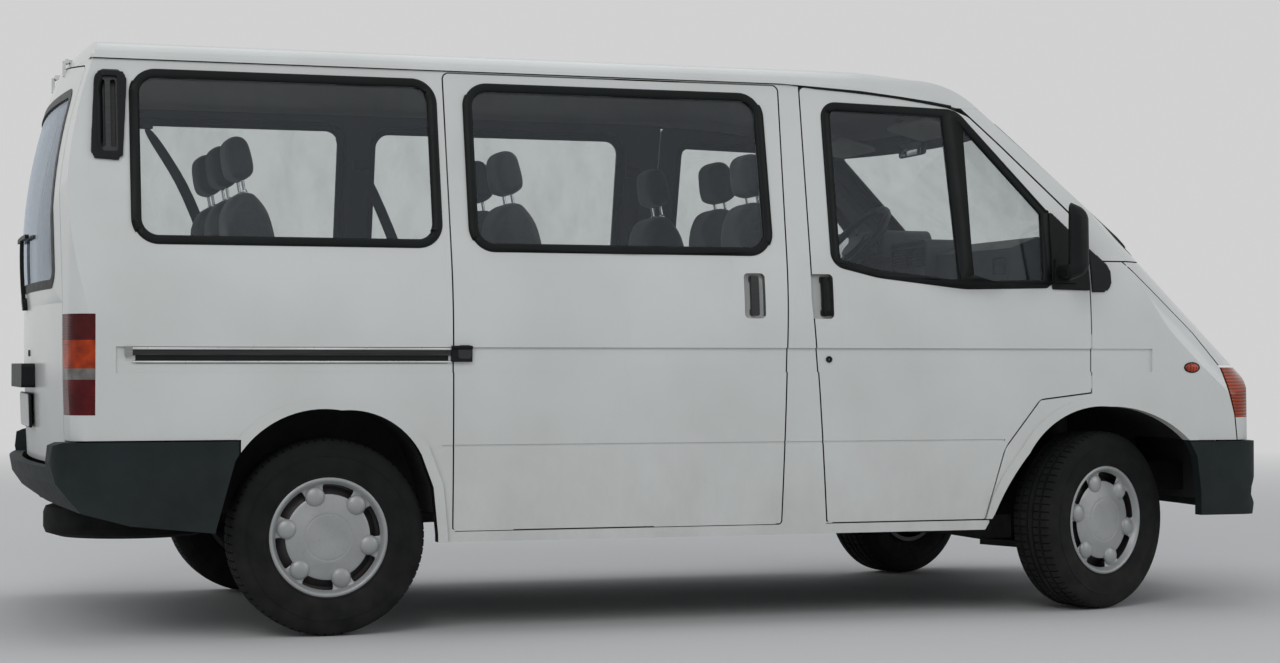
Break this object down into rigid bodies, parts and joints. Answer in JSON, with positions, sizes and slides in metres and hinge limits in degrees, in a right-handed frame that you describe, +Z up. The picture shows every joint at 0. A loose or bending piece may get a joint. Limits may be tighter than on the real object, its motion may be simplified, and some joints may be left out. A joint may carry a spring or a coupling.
{
  "type": "minibus",
  "caption": "Full-size window van with rows of seats, opening front doors, tailgate and bonnet, steered front wheels and wheels that roll.",
  "frame": {"origin": "on the ground, midway between the ends of the bumpers, on the centre line", "axes": "+X forward, +Y to the vehicle's left, +Z up"},
  "size_m": [4.6288, 2.284, 2.02],
  "materials": {
    "paint": "gloss",
    "glass": "clear",
    "seal_rubber": "matte",
    "black_trim": "textured",
    "lamp_clear": "clear",
    "lamp_amber": "gloss",
    "lamp_red": "gloss",
    "tyre": "matte",
    "wheel_silver": "satin",
    "chassis": "satin",
    "inner_paint": "satin",
    "tank": "satin",
    "seat_fabric": "woven"
  },
  "bodies": {
    "shell": {"roof": "paint", "side_panel_right": "paint", "side_panel_left": "paint", "sliding_door": "paint", "side_glass": "glass", "window_seals": "seal_rubber", "windscreen": "glass", "screen_surround": "paint", "wings": "paint", "nose_panel": "paint", "headlamps": "lamp_clear", "indicators": "lamp_amber", "grille": "black_trim", "bumper_front": "black_trim", "bumper_rear": "black_trim", "tail_lamps": "lamp_red", "side_trim": "black_trim", "floor_pan": "inner_paint", "bulkhead": "inner_paint", "underframe": "chassis", "front_suspension": "chassis", "rear_axle": "chassis", "powertrain": "chassis", "fuel_tank": "tank", "exhaust": "chassis", "spare_wheel": "tyre", "front_seats": "seat_fabric", "bench_middle": "seat_fabric", "bench_rear": "seat_fabric", "seat_frames": "chassis", "dashboard": "black_trim", "wipers": "black_trim"},
    "front_door_right": {"door_right": "paint", "door_glass_right": "glass", "door_trim_right": "black_trim"},
    "front_door_left": {"door_left": "paint", "door_glass_left": "glass", "door_trim_left": "black_trim"},
    "tailgate": {"tailgate": "paint", "tailgate_glass": "glass", "tailgate_trim": "black_trim"},
    "bonnet": {"bonnet": "paint"},
    "steering_wheel": {"steering_wheel": "black_trim"},
    "steered_hub_right": {"knuckle_right": "chassis"},
    "steered_hub_left": {"knuckle_left": "chassis"},
    "wheel_front_right": {"tyre_front_right": "tyre", "rim_front_right": "wheel_silver"},
    "wheel_front_left": {"tyre_front_left": "tyre", "rim_front_left": "wheel_silver"},
    "wheel_rear_right": {"tyre_rear_right": "tyre", "rim_rear_right": "wheel_silver"},
    "wheel_rear_left": {"tyre_rear_left": "tyre", "rim_rear_left": "wheel_silver"}
  },
  "joints": [
    {"name": "door_right_swing", "type": "hinge", "parent": "shell", "child": "front_door_right", "pos_m": [1.4555, -0.958, 0.8], "axis": [0, 0, 1], "range_deg": [0, 68]},
    {"name": "door_left_swing", "type": "hinge", "parent": "shell", "child": "front_door_left", "pos_m": [1.4555, 0.958, 0.8], "axis": [0, 0, -1], "range_deg": [0, 68]},
    {"name": "tailgate_lift", "type": "hinge", "parent": "shell", "child": "tailgate", "pos_m": [-2.147, 0, 1.953], "axis": [0, 1, 0], "range_deg": [0, 85]},
    {"name": "bonnet_lift", "type": "hinge", "parent": "shell", "child": "bonnet", "pos_m": [1.599, 0, 1.277], "axis": [0, -1, 0], "range_deg": [0, 55]},
    {"name": "steer_right", "type": "hinge", "parent": "shell", "child": "steered_hub_right", "pos_m": [1.491, -0.745, 0.327], "axis": [0, 0, 1], "range_deg": [-56.7, 13.3]},
    {"name": "steer_left", "type": "hinge", "parent": "shell", "child": "steered_hub_left", "pos_m": [1.491, 0.745, 0.327], "axis": [0, 0, 1], "range_deg": [-56.7, 13.3]},
    {"name": "steering_wheel_turn", "type": "hinge", "parent": "shell", "child": "steering_wheel", "pos_m": [1.106, 0.45, 1.4], "axis": [-0.7431, 0, 0.6691], "range_deg": [-910, 215]},
    {"name": "wheel_front_right_roll", "type": "hinge", "parent": "steered_hub_right", "child": "wheel_front_right", "pos_m": [1.51873, -0.81468, 0.327], "axis": [-0.3697, 0.9291, 0], "continuous": true},
    {"name": "wheel_front_left_roll", "type": "hinge", "parent": "steered_hub_left", "child": "wheel_front_left", "pos_m": [1.46327, 0.81468, 0.327], "axis": [-0.3697, 0.9291, 0], "continuous": true},
    {"name": "wheel_rear_right_roll", "type": "hinge", "parent": "shell", "child": "wheel_rear_right", "pos_m": [-1.344, -0.82, 0.327], "axis": [0, 1, 0], "continuous": true},
    {"name": "wheel_rear_left_roll", "type": "hinge", "parent": "shell", "child": "wheel_rear_left", "pos_m": [-1.344, 0.82, 0.327], "axis": [0, 1, 0], "continuous": true}
  ],
  "couplings": [
    {"joint": "steer_right", "follows": "steer_left", "ratio": 1},
    {"joint": "steering_wheel_turn", "follows": "steer_left", "ratio": 16}
  ]
}
